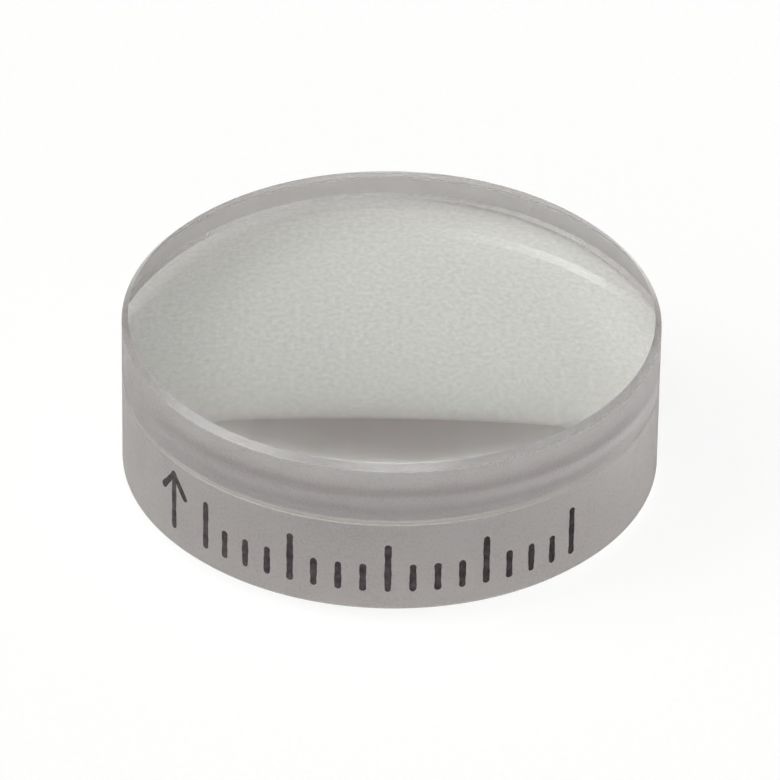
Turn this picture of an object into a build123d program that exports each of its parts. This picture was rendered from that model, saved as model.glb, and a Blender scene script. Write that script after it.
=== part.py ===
from build123d import *
from math import copysign, sqrt
import os

# Cemented achromatic doublet lens, in millimetres.
# The optical axis is Z. The lens stands on its gently curved rear face, front face up,
# and the origin is the rear vertex, where the axis leaves the rear face.

# Driving dimensions
lens_diameter = 12.7
front_radius = 21.0
cemented_radius = 17.0
rear_radius = 68.0
crown_centre_thickness = 3.7
flint_centre_thickness = 1.58
cement_thickness = 0.02
front_bevel = 0.15
rear_bevel = 0.15
joint_bevel = 0.06
bead_recess = 0.02
bead_hollow = 0.01

# Places along the axis, from the rear vertex up
edge_radius = lens_diameter / 2
flint_top_vertex = flint_centre_thickness
crown_bottom_vertex = flint_top_vertex + cement_thickness
front_vertex = crown_bottom_vertex + crown_centre_thickness

# Each polished face is its vertex height and its radius of curvature. A positive radius
# curves up from the vertex towards the rim, a negative one curves down.
# The flint's hollow is concentric with the crown's face, so the cement is even all over.
rear_face = (0, rear_radius)
flint_hollow = (flint_top_vertex, cemented_radius + cement_thickness)
crown_seat = (crown_bottom_vertex, cemented_radius)
front_face = (front_vertex, -front_radius)


def height(face, r):
    """Height of a polished face at distance r from the axis."""
    vertex, radius = face
    return vertex + radius - copysign(sqrt(radius**2 - r**2), radius)


def rim(face, r):
    """Point where a polished face ends, at distance r from the axis."""
    return (r, height(face, r))


def polished_arc(face, r):
    """Half section of a polished face, from its vertex on the axis out to r."""
    return ThreePointArc(rim(face, 0), rim(face, r / 2), rim(face, r))


def turned(profile):
    """Solid of revolution of a closed half section about the optical axis."""
    section = Plane.XZ * make_face(profile)
    return revolve(section, Axis.Z)


def lens_element(lower_face, lower_bevel, upper_face, upper_bevel):
    """One glass element: two polished faces, a ground edge and a 45 degree bevel at each rim."""
    lower_rim = edge_radius - lower_bevel
    upper_rim = edge_radius - upper_bevel
    edge_bottom = (edge_radius, height(lower_face, lower_rim) + lower_bevel)
    edge_top = (edge_radius, height(upper_face, upper_rim) - upper_bevel)
    lower = polished_arc(lower_face, lower_rim)
    edge = Polyline(rim(lower_face, lower_rim), edge_bottom, edge_top, rim(upper_face, upper_rim))
    upper = polished_arc(upper_face, upper_rim)
    axis_line = Line(rim(upper_face, 0), rim(lower_face, 0))
    return turned([lower, edge, upper, axis_line])


def cement():
    """Film between the cemented faces, with the bead that fills the groove at their bevels."""
    groove_root = edge_radius - joint_bevel
    bead_radius = edge_radius - bead_recess
    bead_reach = joint_bevel - bead_recess
    bead_bottom = (bead_radius, height(flint_hollow, groove_root) - bead_reach)
    bead_top = (bead_radius, height(crown_seat, groove_root) + bead_reach)
    bead_middle = (bead_radius - bead_hollow, (bead_bottom[1] + bead_top[1]) / 2)
    lower = polished_arc(flint_hollow, groove_root)
    lower_flank = Line(rim(flint_hollow, groove_root), bead_bottom)
    meniscus = ThreePointArc(bead_bottom, bead_middle, bead_top)
    upper_flank = Line(bead_top, rim(crown_seat, groove_root))
    upper = polished_arc(crown_seat, groove_root)
    axis_line = Line(rim(crown_seat, 0), rim(flint_hollow, 0))
    return turned([lower, lower_flank, meniscus, upper_flank, upper, axis_line])


pieces = {
    "flint_element": lens_element(rear_face, rear_bevel, flint_hollow, joint_bevel),
    "cement_layer": cement(),
    "crown_element": lens_element(crown_seat, joint_bevel, front_face, front_bevel),
}

os.makedirs("parts", exist_ok=True)
for name, solid in pieces.items():
    export_step(solid, f"parts/{name}.step")
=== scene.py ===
import math

import bmesh
import bpy
from mathutils import Matrix, Vector


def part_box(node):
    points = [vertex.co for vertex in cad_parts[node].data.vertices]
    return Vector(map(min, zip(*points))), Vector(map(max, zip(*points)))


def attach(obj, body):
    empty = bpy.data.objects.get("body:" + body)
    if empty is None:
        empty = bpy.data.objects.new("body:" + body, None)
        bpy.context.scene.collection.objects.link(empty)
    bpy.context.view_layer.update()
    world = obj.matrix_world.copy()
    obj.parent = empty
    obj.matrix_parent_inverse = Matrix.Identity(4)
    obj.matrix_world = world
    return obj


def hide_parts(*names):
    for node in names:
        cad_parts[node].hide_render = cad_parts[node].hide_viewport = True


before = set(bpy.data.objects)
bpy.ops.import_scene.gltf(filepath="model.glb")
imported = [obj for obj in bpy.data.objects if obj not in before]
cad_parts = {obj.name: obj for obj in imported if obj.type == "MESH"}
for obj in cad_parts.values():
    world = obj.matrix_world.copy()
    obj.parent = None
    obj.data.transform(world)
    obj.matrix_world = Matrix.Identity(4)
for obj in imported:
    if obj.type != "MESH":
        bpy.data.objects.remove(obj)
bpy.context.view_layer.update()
MM = 0.001

# Flint element, the lower of the two pieces of glass: a dense flint meniscus with a hollow
# top face for the crown and a gently domed rear face that it stands on. Both faces are
# polished and the edge is fine-ground, with a small bevel at each rim.
lens_radius = (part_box("flint_element")[1].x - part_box("flint_element")[0].x) / 2 / MM
flint_low, flint_high = (corner.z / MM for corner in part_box("flint_element"))
rear_radius = 68.0
hollow_radius = 17.02
outer_bevel = 0.15
joint_bevel = 0.06


def sag(radius, r):
    """How far a spherical face has left its vertex plane at distance r from the axis."""
    return radius - math.sqrt(radius**2 - r**2)


def dome(vertex, radius, rim, rings=48):
    """Half section of a polished face from the axis out to its rim. A negative radius curves down."""
    span = math.asin(rim / abs(radius))
    points = []
    for i in range(rings + 1):
        r = abs(radius) * math.sin(span * i / rings)
        points.append((r, vertex + math.copysign(sag(abs(radius), r), radius)))
    return points


def straight(start, end, rings):
    """Half section of a straight band, such as a bevel or the ground edge."""
    return [
        (start[0] + (end[0] - start[0]) * i / rings, start[1] + (end[1] - start[1]) * i / rings)
        for i in range(rings + 1)
    ]


def turned(name, bands, around=256):
    """Closed mesh turned about the optical axis. Each band is a half section and its material."""
    mesh = bpy.data.meshes.new(name)
    bm = bmesh.new()
    finishes = []
    last = None
    for section, finish in bands:
        if finish not in finishes:
            finishes.append(finish)
        corner = last is not None
        for r, z in section[1:] if corner else section:
            if r < 1e-6:
                ring = [bm.verts.new((0, 0, z * MM))]
            else:
                ring = [
                    bm.verts.new((
                        r * math.cos(2 * math.pi * k / around) * MM,
                        r * math.sin(2 * math.pi * k / around) * MM,
                        z * MM,
                    ))
                    for k in range(around)
                ]
            if last is not None:
                for k in range(around):
                    after = (k + 1) % around
                    if len(last) == 1:
                        loop = (last[0], ring[after], ring[k])
                    elif len(ring) == 1:
                        loop = (last[k], last[after], ring[0])
                    else:
                        loop = (last[k], last[after], ring[after], ring[k])
                    face = bm.faces.new(loop)
                    face.smooth = True
                    face.material_index = finishes.index(finish)
                    if corner and len(last) > 1:
                        bm.edges.get((last[k], last[after])).smooth = False
            corner = False
            last = ring
    bm.normal_update()
    bm.to_mesh(mesh)
    bm.free()
    for finish in finishes:
        mesh.materials.append(finish)
    piece = bpy.data.objects.new(name, mesh)
    bpy.context.scene.collection.objects.link(piece)
    return piece


def new_group(name, inputs, outputs):
    """Empty shader node group. Each socket is its name, its type and its default."""
    group = bpy.data.node_groups.new(name, "ShaderNodeTree")
    for label, kind, value in inputs:
        socket = group.interface.new_socket(label, in_out="INPUT", socket_type=kind)
        socket.default_value = value
    for label, kind in outputs:
        group.interface.new_socket(label, in_out="OUTPUT", socket_type=kind)
    return group, group.nodes.new("NodeGroupInput"), group.nodes.new("NodeGroupOutput")


def ground_texture():
    """Effect of fine grinding: a soft mottle, and faint streaks that run round the edge."""
    group, given, put = new_group(
        "ground_texture",
        [("Colour", "NodeSocketColor", (0.5, 0.5, 0.5, 1)), ("Streaks", "NodeSocketFloat", 0.3)],
        [("Colour", "NodeSocketColor"), ("Height", "NodeSocketFloat")],
    )
    nodes, link = group.nodes, group.links.new
    place = nodes.new("ShaderNodeTexCoord")
    stretch = nodes.new("ShaderNodeMapping")
    stretch.inputs["Scale"].default_value = (90, 90, 9000)
    link(place.outputs["Object"], stretch.inputs["Vector"])
    streak = nodes.new("ShaderNodeTexNoise")
    streak.inputs["Scale"].default_value = 1.0
    streak.inputs["Detail"].default_value = 3.0
    link(stretch.outputs["Vector"], streak.inputs["Vector"])
    mottle = nodes.new("ShaderNodeTexNoise")
    mottle.inputs["Scale"].default_value = 900.0
    mottle.inputs["Detail"].default_value = 4.0
    link(place.outputs["Object"], mottle.inputs["Vector"])
    grain = nodes.new("ShaderNodeTexNoise")
    grain.inputs["Scale"].default_value = 16000.0
    grain.inputs["Detail"].default_value = 2.0
    link(place.outputs["Object"], grain.inputs["Vector"])
    streak_part = nodes.new("ShaderNodeMath")
    streak_part.operation = "MULTIPLY_ADD"
    link(streak.outputs["Fac"], streak_part.inputs[0])
    link(given.outputs["Streaks"], streak_part.inputs[1])
    link(mottle.outputs["Fac"], streak_part.inputs[2])
    speckle = nodes.new("ShaderNodeMath")
    speckle.operation = "MULTIPLY_ADD"
    speckle.inputs[1].default_value = 2.2
    link(grain.outputs["Fac"], speckle.inputs[0])
    link(streak_part.outputs["Value"], speckle.inputs[2])
    fade = nodes.new("ShaderNodeMapRange")
    fade.inputs["From Min"].default_value = 1.2
    fade.inputs["From Max"].default_value = 2.3
    fade.inputs["To Min"].default_value = 0.82
    fade.inputs["To Max"].default_value = 1.18
    link(speckle.outputs["Value"], fade.inputs["Value"])
    shade = nodes.new("ShaderNodeVectorMath")
    shade.operation = "SCALE"
    link(given.outputs["Colour"], shade.inputs[0])
    link(fade.outputs["Result"], shade.inputs["Scale"])
    link(shade.outputs["Vector"], put.inputs["Colour"])
    link(grain.outputs["Fac"], put.inputs["Height"])
    return group


grinding = ground_texture()


def ground_glass(name, colour, ior, roughness, streaks):
    """Ground glass: light goes through it well scattered, so it looks grey-white and matt."""
    material = bpy.data.materials.new(name)
    material.use_nodes = True
    nodes, link = material.node_tree.nodes, material.node_tree.links.new
    shader = nodes["Principled BSDF"]
    texture = nodes.new("ShaderNodeGroup")
    texture.node_tree = grinding
    texture.inputs["Colour"].default_value = (*colour, 1)
    texture.inputs["Streaks"].default_value = streaks
    bump = nodes.new("ShaderNodeBump")
    bump.inputs["Strength"].default_value = 0.1
    bump.inputs["Distance"].default_value = 0.02 * MM
    link(texture.outputs["Height"], bump.inputs["Height"])
    link(bump.outputs["Normal"], shader.inputs["Normal"])
    link(texture.outputs["Colour"], shader.inputs["Base Color"])
    shader.inputs["Roughness"].default_value = roughness
    shader.inputs["IOR"].default_value = ior
    shader.inputs["Transmission Weight"].default_value = 1.0
    return material


def polished_glass(name, colour, ior):
    """Polished face of one of the glasses. Its index is the glass over what lies outside the face."""
    material = bpy.data.materials.new(name)
    material.use_nodes = True
    shader = material.node_tree.nodes["Principled BSDF"]
    shader.inputs["Base Color"].default_value = (*colour, 1)
    shader.inputs["Roughness"].default_value = 0.0
    shader.inputs["IOR"].default_value = ior
    shader.inputs["Transmission Weight"].default_value = 1.0
    return material


flint_index = 1.805
cement_index = 1.56
flint_edge = ground_glass("flint_ground_edge", (0.99, 0.95, 0.95), flint_index, 0.5, 0.2)
flint_bevel = ground_glass("flint_bevel", (0.97, 0.95, 0.95), flint_index, 0.22, 0.1)
flint_rear = polished_glass("flint_rear_face", (0.97, 0.97, 0.96), flint_index)
flint_joint = polished_glass("flint_cemented_face", (1, 1, 1), flint_index / cement_index)

rear_rim = lens_radius - outer_bevel
groove_root = lens_radius - joint_bevel
hollow_vertex = flint_high - sag(hollow_radius, groove_root)
rear_rim_height = flint_low + sag(rear_radius, rear_rim)
flint = turned("flint_lens", [
    (dome(flint_low, rear_radius, rear_rim), flint_rear),
    (straight((rear_rim, rear_rim_height), (lens_radius, rear_rim_height + outer_bevel), 2), flint_bevel),
    (
        straight((lens_radius, rear_rim_height + outer_bevel), (lens_radius, flint_high - joint_bevel), 12),
        flint_edge,
    ),
    (straight((lens_radius, flint_high - joint_bevel), (groove_root, flint_high), 1), flint_edge),
    (dome(hollow_vertex, hollow_radius, groove_root)[::-1], flint_joint),
])
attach(flint, "root")
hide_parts("flint_element")

# Ink mark on the flint's ground edge: a plain arrow that points to the front face, and a row
# of graduation ticks. The ink is dark, stamped on the ground glass, and a little bled.
ink_foot = 0.95
ink_stroke = 0.16
ink_proud = 0.004
ink_sunk = 0.003
arrow_angle = -52.0
arrow_height = 1.45
arrow_head = 0.5
first_tick = -42.0
tick_step = 5.25
tick_count = 17
long_tick_every = 4
short_tick = 0.6
long_tick = 1.15
arrow_spread = 0.8
end_margin = 0.02
slow_bleed, slow_waves, slow_shift = 0.07, 9, 2.1
quick_bleed, quick_waves = 0.04, 23
thinnest_ink = 0.0001


def ink_strokes(name, strokes, around, stations=28):
    """Closed slabs of ink on the edge. Each stroke runs between two (round the edge, height) points."""
    mesh = bpy.data.meshes.new(name)
    bm = bmesh.new()
    for number, ((s0, z0), (s1, z1)) in enumerate(strokes):
        length = math.hypot(s1 - s0, z1 - z0)
        along = ((s1 - s0) / length, (z1 - z0) / length)
        half = ink_stroke / 2
        last = None
        for i in range(stations + 1):
            turned_by = math.pi * (end_margin + (1 - 2 * end_margin) * i / stations)
            reach = -half + (length + ink_stroke) * (0.5 - 0.5 * math.cos(turned_by))
            past = max(-reach, reach - length, 0)
            bleed = 1 + slow_bleed * math.sin(slow_waves * reach + slow_shift * number)
            bleed += quick_bleed * math.sin(quick_waves * reach + number)
            width = math.sqrt(max(half**2 - past**2, thinnest_ink)) * bleed
            ring = []
            for side, radius in ((1, around + ink_proud), (-1, around + ink_proud),
                                 (-1, around - ink_sunk), (1, around - ink_sunk)):
                turn = (s0 + along[0] * reach - along[1] * side * width) / around
                rise = z0 + along[1] * reach + along[0] * side * width
                ring.append(bm.verts.new((
                    radius * math.sin(turn) * MM, -radius * math.cos(turn) * MM, rise * MM,
                )))
            if last is None:
                bm.faces.new(ring)
            else:
                for k in range(4):
                    bm.faces.new((last[k], last[(k + 1) % 4], ring[(k + 1) % 4], ring[k]))
            last = ring
        bm.faces.new(last[::-1])
    bmesh.ops.recalc_face_normals(bm, faces=bm.faces)
    bm.to_mesh(mesh)
    bm.free()
    piece = bpy.data.objects.new(name, mesh)
    bpy.context.scene.collection.objects.link(piece)
    return piece


def edge_ink():
    """Purplish black ink that has taken unevenly on the ground glass."""
    material = bpy.data.materials.new("edge_ink")
    material.use_nodes = True
    nodes, link = material.node_tree.nodes, material.node_tree.links.new
    shader = nodes["Principled BSDF"]
    place = nodes.new("ShaderNodeTexCoord")
    blotch = nodes.new("ShaderNodeTexNoise")
    blotch.inputs["Scale"].default_value = 7000.0
    blotch.inputs["Detail"].default_value = 4.0
    link(place.outputs["Object"], blotch.inputs["Vector"])
    tone = nodes.new("ShaderNodeValToRGB")
    tone.color_ramp.elements[0].position = 0.35
    tone.color_ramp.elements[0].color = (0.045, 0.036, 0.042, 1)
    tone.color_ramp.elements[1].position = 0.75
    tone.color_ramp.elements[1].color = (0.12, 0.10, 0.105, 1)
    link(blotch.outputs["Fac"], tone.inputs["Fac"])
    link(tone.outputs["Color"], shader.inputs["Base Color"])
    shader.inputs["Roughness"].default_value = 0.7
    shader.inputs["Specular IOR Level"].default_value = 0.3
    return material


def on_edge(angle, rise):
    """Point of the mark: its distance round the edge from the front, and its height."""
    return lens_radius * math.radians(angle), ink_foot + rise


arrow_tip = on_edge(arrow_angle, arrow_height)
strokes = [(on_edge(arrow_angle, 0), arrow_tip)]
for side in (-1, 1):
    strokes.append((arrow_tip, (arrow_tip[0] + side * arrow_head * arrow_spread, arrow_tip[1] - arrow_head)))
for k in range(tick_count):
    tick = long_tick if k % long_tick_every == 0 else short_tick
    strokes.append((on_edge(first_tick + k * tick_step, 0), on_edge(first_tick + k * tick_step, tick)))
mark = ink_strokes("edge_mark", strokes, lens_radius)
mark.data.materials.append(edge_ink())
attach(mark, "root")

# Cement layer: a film of clear cured resin, 0.02 mm thick, that bonds the two glasses over
# their whole faces, with a bead that fills the small groove between their bevels.
cement_low, cement_high = (corner.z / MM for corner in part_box("cement_layer"))
bead_radius = (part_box("cement_layer")[1].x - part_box("cement_layer")[0].x) / 2 / MM
crown_low, crown_high = (corner.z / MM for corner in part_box("crown_element"))
seat_radius = 17.0
film_gap = 0.001


def clear_film():
    """The film inside the joint, which has no surface of its own between the two glasses."""
    material = bpy.data.materials.new("cement_film")
    material.use_nodes = True
    shader = material.node_tree.nodes["Principled BSDF"]
    shader.inputs["Base Color"].default_value = (0.95, 0.93, 0.88, 1)
    shader.inputs["Alpha"].default_value = 0.0
    return material


def cement_bead():
    """The bead at the edge: a smooth warm grey line, a little uneven in tone."""
    material = bpy.data.materials.new("cement_bead")
    material.use_nodes = True
    nodes, link = material.node_tree.nodes, material.node_tree.links.new
    shader = nodes["Principled BSDF"]
    place = nodes.new("ShaderNodeTexCoord")
    noise = nodes.new("ShaderNodeTexNoise")
    noise.inputs["Scale"].default_value = 500.0
    link(place.outputs["Object"], noise.inputs["Vector"])
    tone = nodes.new("ShaderNodeValToRGB")
    tone.color_ramp.elements[0].position = 0.4
    tone.color_ramp.elements[0].color = (0.80, 0.75, 0.67, 1)
    tone.color_ramp.elements[1].position = 0.62
    tone.color_ramp.elements[1].color = (0.92, 0.88, 0.85, 1)
    link(noise.outputs["Fac"], tone.inputs["Fac"])
    link(tone.outputs["Color"], shader.inputs["Base Color"])
    shader.inputs["Roughness"].default_value = 0.4
    shader.inputs["IOR"].default_value = cement_index
    shader.inputs["Transmission Weight"].default_value = 0.85
    return material


film = clear_film()
bead = cement_bead()
seat_rim_height = crown_low + sag(seat_radius, groove_root)
bead_reach = bead_radius - groove_root
film_bottom = [(r, z + film_gap) for r, z in dome(hollow_vertex, hollow_radius, groove_root)]
film_top = [(r, z - film_gap) for r, z in dome(crown_low, seat_radius, groove_root)]
bead_foot = (bead_radius, flint_high - bead_reach + film_gap)
bead_head = (bead_radius, seat_rim_height + bead_reach - film_gap)
cement = turned("cement_film_and_bead", [
    (film_bottom, film),
    (straight(film_bottom[-1], bead_foot, 1), film),
    (straight(bead_foot, bead_head, 3), bead),
    (straight(bead_head, film_top[-1], 1), film),
    (film_top[::-1], film),
])
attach(cement, "root")
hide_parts("cement_layer")

# Crown element, the upper piece of glass: a biconvex lens of a lanthanum crown, cemented by
# its lower face into the flint's hollow. Its front face is the steeper free face of the
# doublet; the edge is ground to the same diameter as the flint's.
front_radius = 21.0
crown_index = 1.64
crown_edge = ground_glass("crown_ground_edge", (0.97, 0.94, 0.95), crown_index, 0.5, 0.35)
crown_bevel = ground_glass("crown_bevel", (0.97, 0.96, 0.96), crown_index, 0.22, 0.1)
crown_front = polished_glass("crown_front_face", (0.97, 0.975, 0.96), crown_index)
crown_joint = polished_glass("crown_cemented_face", (1, 1, 1), crown_index / cement_index)

front_rim = lens_radius - outer_bevel
front_rim_height = crown_high - sag(front_radius, front_rim)
crown = turned("crown_lens", [
    (dome(crown_low, seat_radius, groove_root), crown_joint),
    (straight((groove_root, seat_rim_height), (lens_radius, seat_rim_height + joint_bevel), 1), crown_edge),
    (
        straight(
            (lens_radius, seat_rim_height + joint_bevel), (lens_radius, front_rim_height - outer_bevel), 10,
        ),
        crown_edge,
    ),
    (straight((lens_radius, front_rim_height - outer_bevel), (front_rim, front_rim_height), 2), crown_bevel),
    (dome(crown_high, -front_radius, front_rim)[::-1], crown_front),
])
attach(crown, "root")
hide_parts("crown_element")

# Sheet of pale paper that the lens stands on. The camera sees it as nearly white. In the glass
# only a part of that white shows, and the rest is the grey of the paper as it is lit.
paper_shown_direct = 0.75
paper_shown_in_glass = 0.15
paper_white = 1.15
bpy.ops.mesh.primitive_plane_add(size=0.6, location=(0, 0, -0.000001))
paper = bpy.context.object
paper.name = "paper_floor"
paper_material = bpy.data.materials.new("paper")
paper_material.use_nodes = True
nodes, link = paper_material.node_tree.nodes, paper_material.node_tree.links.new
sheet = nodes["Principled BSDF"]
sheet.inputs["Roughness"].default_value = 0.9
sheet.inputs["Specular IOR Level"].default_value = 0.1
place = nodes.new("ShaderNodeTexCoord")
fibre = nodes.new("ShaderNodeTexNoise")
fibre.inputs["Scale"].default_value = 8500.0
fibre.inputs["Detail"].default_value = 6.0
fibre.inputs["Roughness"].default_value = 0.78
link(place.outputs["Object"], fibre.inputs["Vector"])
tone = nodes.new("ShaderNodeValToRGB")
tone.color_ramp.elements[0].position = 0.38
tone.color_ramp.elements[0].color = (0.68, 0.685, 0.65, 1)
tone.color_ramp.elements[1].position = 0.62
tone.color_ramp.elements[1].color = (0.90, 0.905, 0.87, 1)
link(fibre.outputs["Fac"], tone.inputs["Fac"])
link(tone.outputs["Color"], sheet.inputs["Base Color"])
glow = nodes.new("ShaderNodeEmission")
glow.inputs["Strength"].default_value = paper_white
rays = nodes.new("ShaderNodeLightPath")
direct = nodes.new("ShaderNodeMath")
direct.operation = "MULTIPLY"
direct.inputs[1].default_value = paper_shown_direct
link(rays.outputs["Is Camera Ray"], direct.inputs[0])
in_glass = nodes.new("ShaderNodeMath")
in_glass.operation = "MAXIMUM"
link(rays.outputs["Is Transmission Ray"], in_glass.inputs[0])
link(rays.outputs["Is Glossy Ray"], in_glass.inputs[1])
share = nodes.new("ShaderNodeMath")
share.operation = "MULTIPLY_ADD"
share.inputs[1].default_value = paper_shown_in_glass
link(in_glass.outputs["Value"], share.inputs[0])
link(direct.outputs["Value"], share.inputs[2])
mix = nodes.new("ShaderNodeMixShader")
link(share.outputs["Value"], mix.inputs["Fac"])
link(sheet.outputs["BSDF"], mix.inputs[1])
link(glow.outputs["Emission"], mix.inputs[2])
link(mix.outputs["Shader"], nodes["Material Output"].inputs["Surface"])
paper.data.materials.append(paper_material)

# Light tent all round the lens: dim, with a broad key light on the left, a light above the
# camera and a low one in front. The camera sees the tent as white, and in the glass only a
# part of that white shows.
tent_shown_in_glass = 0.15
world = bpy.data.worlds.new("light_tent")
bpy.context.scene.world = world
world.use_nodes = True
nodes, link = world.node_tree.nodes, world.node_tree.links.new
direction = nodes.new("ShaderNodeTexCoord")
height = nodes.new("ShaderNodeSeparateXYZ")
link(direction.outputs["Generated"], height.inputs["Vector"])
tent = nodes.new("ShaderNodeValToRGB")
tent.color_ramp.elements[0].position = 0.0
tent.color_ramp.elements[0].color = (0.072, 0.042, 0.036, 1)
tent.color_ramp.elements[1].position = 1.0
tent.color_ramp.elements[1].color = (0.16, 0.16, 0.16, 1)
middle = tent.color_ramp.elements.new(0.36)
middle.color = (0.072, 0.042, 0.036, 1)
high = tent.color_ramp.elements.new(0.62)
high.color = (0.01, 0.01, 0.01, 1)
link(height.outputs["Z"], tent.inputs["Fac"])


def add_light(light, toward, edge, strength):
    """Adds a broad soft light that shines from one direction and fades out where the cosine is edge."""
    facing = nodes.new("ShaderNodeVectorMath")
    facing.operation = "DOT_PRODUCT"
    facing.inputs[1].default_value = Vector(toward).normalized()
    link(direction.outputs["Generated"], facing.inputs[0])
    fade = nodes.new("ShaderNodeMapRange")
    fade.interpolation_type = "SMOOTHSTEP"
    fade.inputs["From Min"].default_value = edge
    fade.inputs["From Max"].default_value = 1.0
    fade.inputs["To Max"].default_value = strength
    link(facing.outputs["Value"], fade.inputs["Value"])
    total = nodes.new("ShaderNodeVectorMath")
    total.operation = "ADD"
    link(light, total.inputs[0])
    link(fade.outputs["Result"], total.inputs[1])
    return total.outputs["Vector"]


light = tent.outputs["Color"]
light = add_light(light, toward=(-0.75, -0.1, 0.65), edge=0.86, strength=2.61)
light = add_light(light, toward=(-0.6, -0.6, 0.55), edge=0.88, strength=0.81)
light = add_light(light, toward=(-0.5, 0.0, 0.87), edge=0.88, strength=0.99)
light = add_light(light, toward=(0.05, -0.54, 0.83), edge=0.93, strength=2.6)
light = add_light(light, toward=(0.0, -1.0, -0.05), edge=0.5, strength=0.68)
rays = nodes.new("ShaderNodeLightPath")
in_glass = nodes.new("ShaderNodeMath")
in_glass.operation = "MAXIMUM"
link(rays.outputs["Is Transmission Ray"], in_glass.inputs[0])
link(rays.outputs["Is Glossy Ray"], in_glass.inputs[1])
share = nodes.new("ShaderNodeMath")
share.operation = "MULTIPLY_ADD"
share.inputs[1].default_value = tent_shown_in_glass
link(in_glass.outputs["Value"], share.inputs[0])
link(rays.outputs["Is Camera Ray"], share.inputs[2])
seen = nodes.new("ShaderNodeMix")
seen.data_type = "RGBA"
seen.inputs["B"].default_value = (1, 1, 1, 1)
link(share.outputs["Value"], seen.inputs["Factor"])
link(light, seen.inputs["A"])
link(seen.outputs["Result"], nodes["Background"].inputs["Color"])

# Camera at the photograph's viewing angle. Its scale, place, height and roll are fitted to the
# outline, the front rim and the joint of the lens.
photo_width = 780
photo_scale = 42.3
photo_centre = (390.7, 385.5)
view_distance = 200.0
view_elevation = math.radians(34.18)
view_roll = math.radians(0.85)
edge_middle = (rear_rim_height + front_rim_height) / 2

camera_data = bpy.data.cameras.new("camera")
camera_data.sensor_width = 36.0
camera_data.lens = camera_data.sensor_width * photo_scale * view_distance / photo_width
camera_data.clip_start = 0.01
camera_data.clip_end = 10.0
camera = bpy.data.objects.new("camera", camera_data)
bpy.context.scene.collection.objects.link(camera)
back = Vector((0, -math.cos(view_elevation), math.sin(view_elevation)))
up = Vector((0, math.sin(view_elevation), math.cos(view_elevation)))
right = Vector((1, 0, 0))
image_right = right * math.cos(view_roll) + up * math.sin(view_roll)
image_up = up * math.cos(view_roll) - right * math.sin(view_roll)
off_right = (photo_centre[0] - photo_width / 2) / photo_scale
off_up = (photo_width / 2 - photo_centre[1]) / photo_scale
place = Vector((0, 0, edge_middle)) + back * view_distance - image_right * off_right - image_up * off_up
camera.matrix_world = Matrix((
    (image_right.x, image_up.x, back.x, place.x * MM),
    (image_right.y, image_up.y, back.y, place.y * MM),
    (image_right.z, image_up.z, back.z, place.z * MM),
    (0, 0, 0, 1),
))
bpy.context.scene.camera = camera
bpy.context.scene.view_settings.view_transform = "Standard"
bpy.context.scene.cycles.transparent_max_bounces = 32
bpy.context.scene.cycles.glossy_bounces = 12
bpy.context.scene.cycles.blur_glossy = 0.0
bpy.context.scene.cycles.transmission_bounces = 24
bpy.context.scene.cycles.max_bounces = 24
